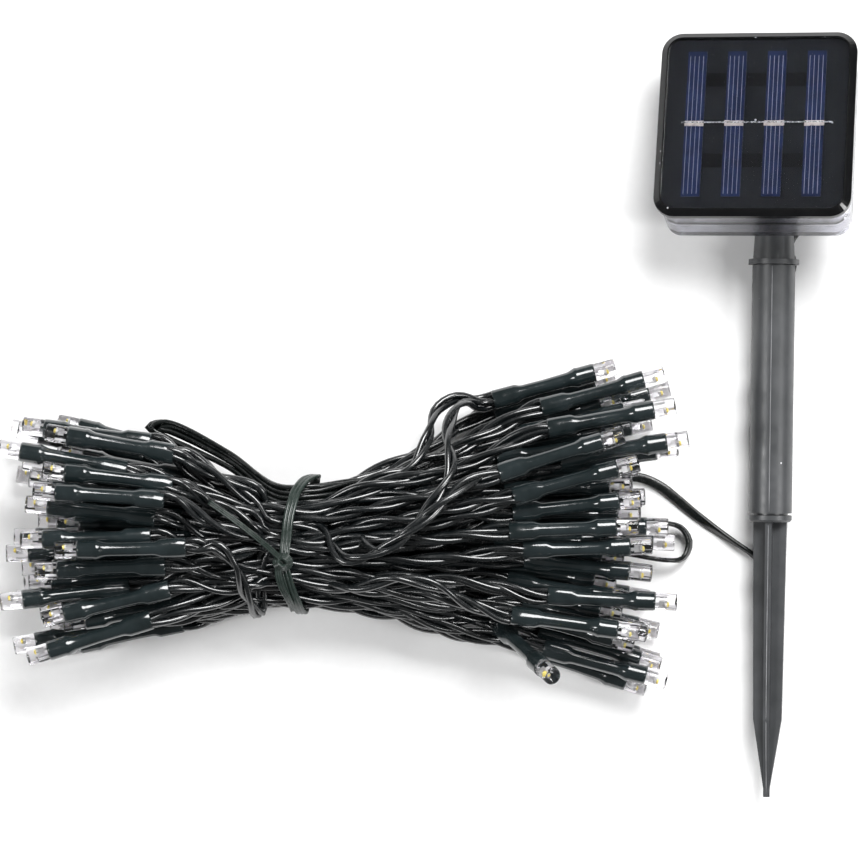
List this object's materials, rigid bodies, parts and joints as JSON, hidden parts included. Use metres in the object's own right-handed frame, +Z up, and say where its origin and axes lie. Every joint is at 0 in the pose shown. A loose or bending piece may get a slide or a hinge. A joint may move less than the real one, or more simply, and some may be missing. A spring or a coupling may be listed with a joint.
{
  "type": "solar string lights",
  "caption": "Solar charging head on a ground stake, with a lead to a long string of LEDs in shrink sleeves, folded into a hank held by a ribbed tie.",
  "frame": {"origin": "on the stake's axis at the shoulder of the ground spike, where the stake meets the soil", "axes": "+Y runs along the stake from the spike to the solar head, +Z is up from the surface that the set lies on, +X completes the frame"},
  "size_m": [0.2398, 0.2161, 0.0511],
  "materials": {
    "tray_black": "gloss",
    "glaze": "gloss",
    "cell": "satin",
    "solder": "satin",
    "clear_case": "clear gloss",
    "gasket": "matt",
    "steel": "satin",
    "board": "satin",
    "chip": "matt",
    "copper": "satin",
    "button_rubber": "matt",
    "battery": "satin",
    "wire_cover": "gloss",
    "lead_cover": "satin",
    "stake_grey": "satin",
    "tie": "satin",
    "sleeve": "gloss",
    "lens": "gloss"
  },
  "bodies": {
    "base": {"stake_neck": "stake_grey", "lead_cable": "lead_cover", "lead_hank": "lead_cover", "string_hank": "wire_cover", "hank_tie": "tie", "led_sleeves_1": "sleeve", "led_lenses_1": "lens", "led_frames_1": "steel", "led_sleeves_2": "sleeve", "led_lenses_2": "lens", "led_frames_2": "steel", "led_sleeves_3": "sleeve", "led_lenses_3": "lens", "led_frames_3": "steel", "led_sleeves_4": "sleeve", "led_lenses_4": "lens", "led_frames_4": "steel", "led_sleeves_5": "sleeve", "led_lenses_5": "lens", "led_frames_5": "steel"},
    "head": {"panel_tray": "tray_black", "panel_glaze": "glaze", "solar_cell_1": "cell", "solar_cell_2": "cell", "solar_cell_3": "cell", "solar_cell_4": "cell", "cell_tabs": "solder", "tab_wire": "solder", "front_shell": "clear_case", "case_gasket": "gasket", "rear_case": "clear_case", "case_screws": "steel", "circuit_board": "board", "control_chip": "chip", "choke_coil": "copper", "power_switch": "chip", "mode_switch": "chip", "battery_cell": "battery", "battery_contact": "steel", "battery_spring": "steel", "panel_wires": "wire_cover", "cable_grommet": "gasket", "hinge_screw": "steel", "hinge_nut": "steel"},
    "tube": {"stake_tube": "stake_grey"},
    "spike": {"ground_spike": "stake_grey"},
    "power_key": {"power_button": "button_rubber"},
    "mode_key": {"mode_button": "button_rubber"}
  },
  "joints": [
    {"name": "panel_tilt", "type": "hinge", "parent": "base", "child": "head", "pos_m": [0, 0.0895, 0], "axis": [-0.9781, 0, -0.2079], "range_deg": [-18, 25]},
    {"name": "tube_swivel", "type": "hinge", "parent": "base", "child": "tube", "pos_m": [0, 0, 0], "axis": [0, 1, 0], "continuous": true},
    {"name": "spike_pull", "type": "slide", "parent": "tube", "child": "spike", "axis": [0, -1, 0], "range_m": [0, 0.008]},
    {"name": "power_press", "type": "slide", "parent": "head", "child": "power_key", "axis": [-0.1988, 0.2924, 0.9354], "range_m": [0, 0.0008], "stiffness_N_per_m": 400, "springref_m": -0.0002},
    {"name": "mode_press", "type": "slide", "parent": "head", "child": "mode_key", "axis": [-0.1988, 0.2924, 0.9354], "range_m": [0, 0.0008], "stiffness_N_per_m": 400, "springref_m": -0.0002}
  ]
}
